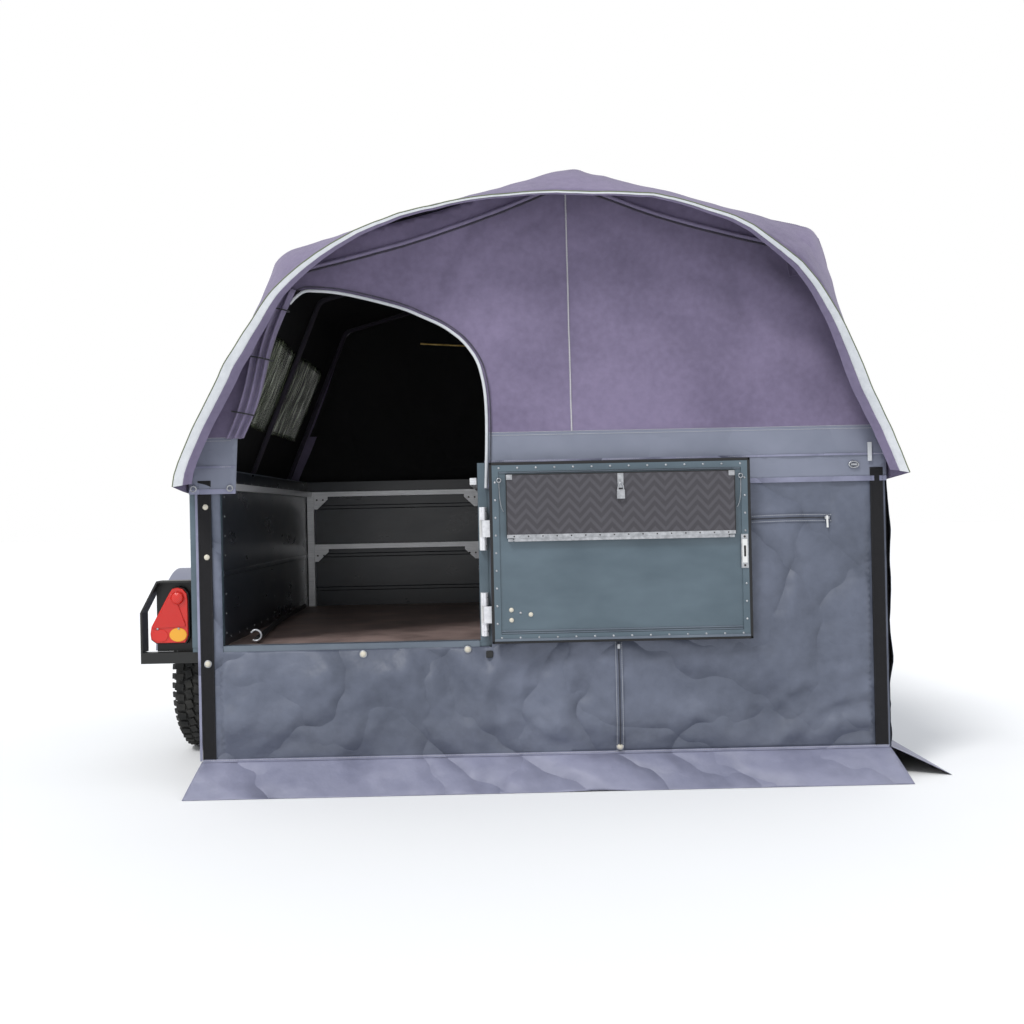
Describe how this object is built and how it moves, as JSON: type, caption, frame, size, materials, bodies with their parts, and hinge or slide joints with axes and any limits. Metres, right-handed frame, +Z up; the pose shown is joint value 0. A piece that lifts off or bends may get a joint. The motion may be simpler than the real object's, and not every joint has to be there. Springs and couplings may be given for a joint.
{
  "type": "trailer tent",
  "caption": "Box trailer with its canvas tent standing: the bed base opened out at the right, canvas on bows over both, skirts to the ground and the rear door folded back.",
  "frame": {"origin": "on the ground, under the middle of the bounding box", "axes": "+X to the trailer's right, +Y forwards to the coupling, +Z up"},
  "size_m": [3.3434, 3.6082, 2.496],
  "materials": {
    "box_coat": "satin coil coat, blue-grey",
    "chassis": "semi-gloss black coat",
    "galvanised": "zinc plate",
    "profile": "mill finish",
    "plywood": "film-faced plywood",
    "tyre": "matt rubber",
    "rim": "silver coat",
    "rubber": "matt rubber",
    "mudguard": "textured polyethylene",
    "lamp": "clear red and amber lens",
    "table": "textured grey board",
    "canvas": "close-woven cotton canvas",
    "coated": "PVC-coated polyester",
    "film": "clear soft film",
    "mattress": "woven cover on foam"
  },
  "bodies": {
    "trailer": {"axle_beam": "chassis", "bed_base": "box_coat", "bed_leg_brackets": "galvanised", "box_floor": "plywood", "box_wall_front": "box_coat", "box_wall_left": "box_coat", "box_wall_right": "box_coat", "chassis_cross_members": "chassis", "chassis_rail_left": "chassis", "chassis_rail_right": "chassis", "coupling_head": "galvanised", "door_hinge_brackets": "galvanised", "drawbar_left": "chassis", "drawbar_right": "chassis", "drawbar_nose_plate": "chassis", "handbrake_lever": "galvanised", "inner_frame": "profile", "jockey_clamp": "galvanised", "jockey_tube": "galvanised", "lamp_guard_left": "chassis", "lamp_guard_right": "chassis", "mattress": "mattress", "mudguard_left": "mudguard", "mudguard_right": "mudguard", "rear_light_beam": "chassis", "rear_posts": "box_coat", "rear_sill": "box_coat", "rear_steady_brackets": "galvanised", "skirt_front": "coated", "skirt_rear": "coated", "skirt_right": "coated", "suspension_arms": "chassis", "tail_lamp_left": "lamp", "tail_lamp_right": "lamp", "tent_bow_front": "profile", "tent_bow_middle": "profile", "tent_bow_rear": "profile", "tent_front_wall": "canvas", "tent_rear_hood": "canvas", "tent_rear_wall": "canvas", "tent_roof": "canvas", "window_left": "film", "window_right": "film"},
    "wheel_left": {"tyre_left": "tyre", "wheel_rim_left": "rim"},
    "wheel_right": {"tyre_right": "tyre", "wheel_rim_right": "rim"},
    "jockey_leg": {"jockey_leg": "galvanised"},
    "jockey_fork": {"jockey_fork": "galvanised"},
    "jockey_wheel": {"jockey_wheel": "rubber"},
    "steady_left": {"rear_steady_left": "galvanised"},
    "steady_right": {"rear_steady_right": "galvanised"},
    "bed_leg_rear": {"bed_leg_rear": "galvanised"},
    "bed_leg_front": {"bed_leg_front": "galvanised"},
    "door": {"rear_door": "box_coat", "door_hinge_straps": "galvanised", "door_latch": "galvanised", "door_table_brackets": "galvanised"},
    "table": {"door_table": "table", "door_table_rail": "galvanised"}
  },
  "joints": [
    {"name": "wheel_left_spin", "type": "hinge", "parent": "trailer", "child": "wheel_left", "pos_m": [-1.53165, -0.60385, 0.335], "axis": [1, 0, 0], "continuous": true},
    {"name": "wheel_right_spin", "type": "hinge", "parent": "trailer", "child": "wheel_right", "pos_m": [0.08835, -0.60385, 0.335], "axis": [1, 0, 0], "continuous": true},
    {"name": "jockey_lift", "type": "slide", "parent": "trailer", "child": "jockey_leg", "axis": [0, 0, 1], "range_m": [-0.08, 0.18]},
    {"name": "jockey_swivel", "type": "hinge", "parent": "jockey_leg", "child": "jockey_fork", "pos_m": [-0.72165, 1.11615, 0.22], "axis": [0, 0, 1], "continuous": true},
    {"name": "jockey_wheel_spin", "type": "hinge", "parent": "jockey_fork", "child": "jockey_wheel", "pos_m": [-0.72165, 1.15615, 0.1], "axis": [1, 0, 0], "continuous": true},
    {"name": "steady_left_fold", "type": "hinge", "parent": "trailer", "child": "steady_left", "pos_m": [-1.28165, -1.55135, 0.48], "axis": [1, 0, 0], "range_deg": [0, 90]},
    {"name": "steady_right_fold", "type": "hinge", "parent": "trailer", "child": "steady_right", "pos_m": [-0.16165, -1.55135, 0.48], "axis": [1, 0, 0], "range_deg": [0, 90]},
    {"name": "bed_leg_rear_fold", "type": "hinge", "parent": "trailer", "child": "bed_leg_rear", "pos_m": [1.35835, -1.46385, 1.21], "axis": [0, 1, 0], "range_deg": [0, 90]},
    {"name": "bed_leg_front_fold", "type": "hinge", "parent": "trailer", "child": "bed_leg_front", "pos_m": [1.35835, 0.49615, 1.21], "axis": [0, 1, 0], "range_deg": [0, 90]},
    {"name": "rear_door_swing", "type": "hinge", "parent": "trailer", "child": "door", "pos_m": [-0.18365, -1.61185, 0.93], "axis": [0, 0, 1], "range_deg": [-180, 0]},
    {"name": "door_table_fold", "type": "hinge", "parent": "door", "child": "table", "pos_m": [0.35435, -1.68185, 0.974], "axis": [1, 0, 0], "range_deg": [0, 90]}
  ]
}
